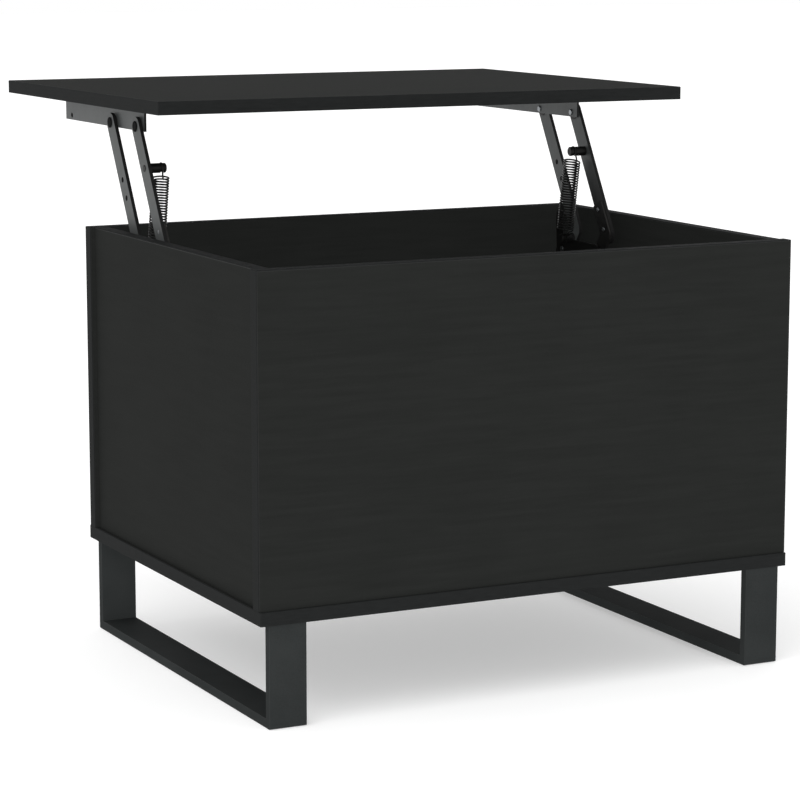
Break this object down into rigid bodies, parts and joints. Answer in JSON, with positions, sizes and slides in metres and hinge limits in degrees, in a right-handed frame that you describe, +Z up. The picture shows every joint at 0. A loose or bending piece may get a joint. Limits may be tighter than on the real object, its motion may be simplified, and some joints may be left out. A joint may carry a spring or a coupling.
{
  "type": "lift top coffee table",
  "caption": "Rectangular box table on flat sled legs, with a hidden storage space and a top that swings up and forward on two pairs of sprung arms.",
  "frame": {"origin": "on the floor under the middle of the raised table's overall box", "axes": "+X along the long side, +Y the way the raised top moves out towards the user, +Z up"},
  "size_m": [0.6, 0.669, 0.578],
  "materials": {
    "grey_board": "dark grey laminated board with a faint matte grain",
    "leg_paint": "dark grey powder coat",
    "grey_steel": "light grey coated steel strip",
    "black_steel": "black oxide steel",
    "spring_steel": "black spring wire",
    "zinc": "bright zinc plate",
    "nylon": "black nylon",
    "beech": "plain turned beech"
  },
  "bodies": {
    "cabinet": {"base_board": "grey_board", "back_panel": "grey_board", "front_panel": "grey_board", "left_panel": "grey_board", "right_panel": "grey_board", "cam_locks": "zinc", "cam_bolts": "zinc", "dowels": "beech", "panel_screws": "zinc", "leg_screws": "black_steel", "left_leg_frame": "leg_paint", "left_base_bracket": "black_steel", "left_base_stud": "black_steel", "left_stop_post": "black_steel", "left_lower_rivets": "zinc", "left_lower_washers": "nylon", "left_base_bracket_screws": "zinc", "left_lift_spring": "spring_steel", "right_leg_frame": "leg_paint", "right_base_bracket": "black_steel", "right_base_stud": "black_steel", "right_stop_post": "black_steel", "right_lower_rivets": "zinc", "right_lower_washers": "nylon", "right_base_bracket_screws": "zinc", "right_lift_spring": "spring_steel"},
    "left_far_arm": {"left_far_arm": "grey_steel"},
    "top": {"table_top": "grey_board", "left_top_bracket": "grey_steel", "left_upper_rivets": "zinc", "left_upper_washers": "nylon", "left_top_bracket_screws": "zinc", "right_top_bracket": "grey_steel", "right_upper_rivets": "zinc", "right_upper_washers": "nylon", "right_top_bracket_screws": "zinc"},
    "left_near_arm": {"left_near_arm": "grey_steel", "left_near_arm_foot": "black_steel", "left_arm_foot_rivets": "zinc", "left_arm_stud": "black_steel"},
    "right_near_arm": {"right_near_arm": "grey_steel", "right_near_arm_foot": "black_steel", "right_arm_foot_rivets": "zinc", "right_arm_stud": "black_steel"},
    "right_far_arm": {"right_far_arm": "grey_steel"}
  },
  "joints": [
    {"name": "lift", "type": "hinge", "parent": "cabinet", "child": "left_far_arm", "pos_m": [-0.2613, 0.05853, 0.38947], "axis": [1, 0, 0], "range_deg": [0, 102]},
    {"name": "top_level", "type": "hinge", "parent": "left_far_arm", "child": "top", "pos_m": [-0.2613, 0.117, 0.5432], "axis": [1, 0, 0], "range_deg": [-102, 0]},
    {"name": "left_near_swing", "type": "hinge", "parent": "cabinet", "child": "left_near_arm", "pos_m": [-0.2613, -0.01247, 0.38947], "axis": [1, 0, 0], "range_deg": [0, 102], "deforming": ["left_lift_spring"]},
    {"name": "right_far_swing", "type": "hinge", "parent": "cabinet", "child": "right_far_arm", "pos_m": [0.2613, 0.05853, 0.38947], "axis": [1, 0, 0], "range_deg": [0, 102]},
    {"name": "right_near_swing", "type": "hinge", "parent": "cabinet", "child": "right_near_arm", "pos_m": [0.2613, -0.01247, 0.38947], "axis": [1, 0, 0], "range_deg": [0, 102], "deforming": ["right_lift_spring"]}
  ],
  "couplings": [
    {"joint": "top_level", "follows": "lift", "ratio": -1},
    {"joint": "left_near_swing", "follows": "lift", "ratio": 1},
    {"joint": "right_far_swing", "follows": "lift", "ratio": 1},
    {"joint": "right_near_swing", "follows": "lift", "ratio": 1}
  ]
}
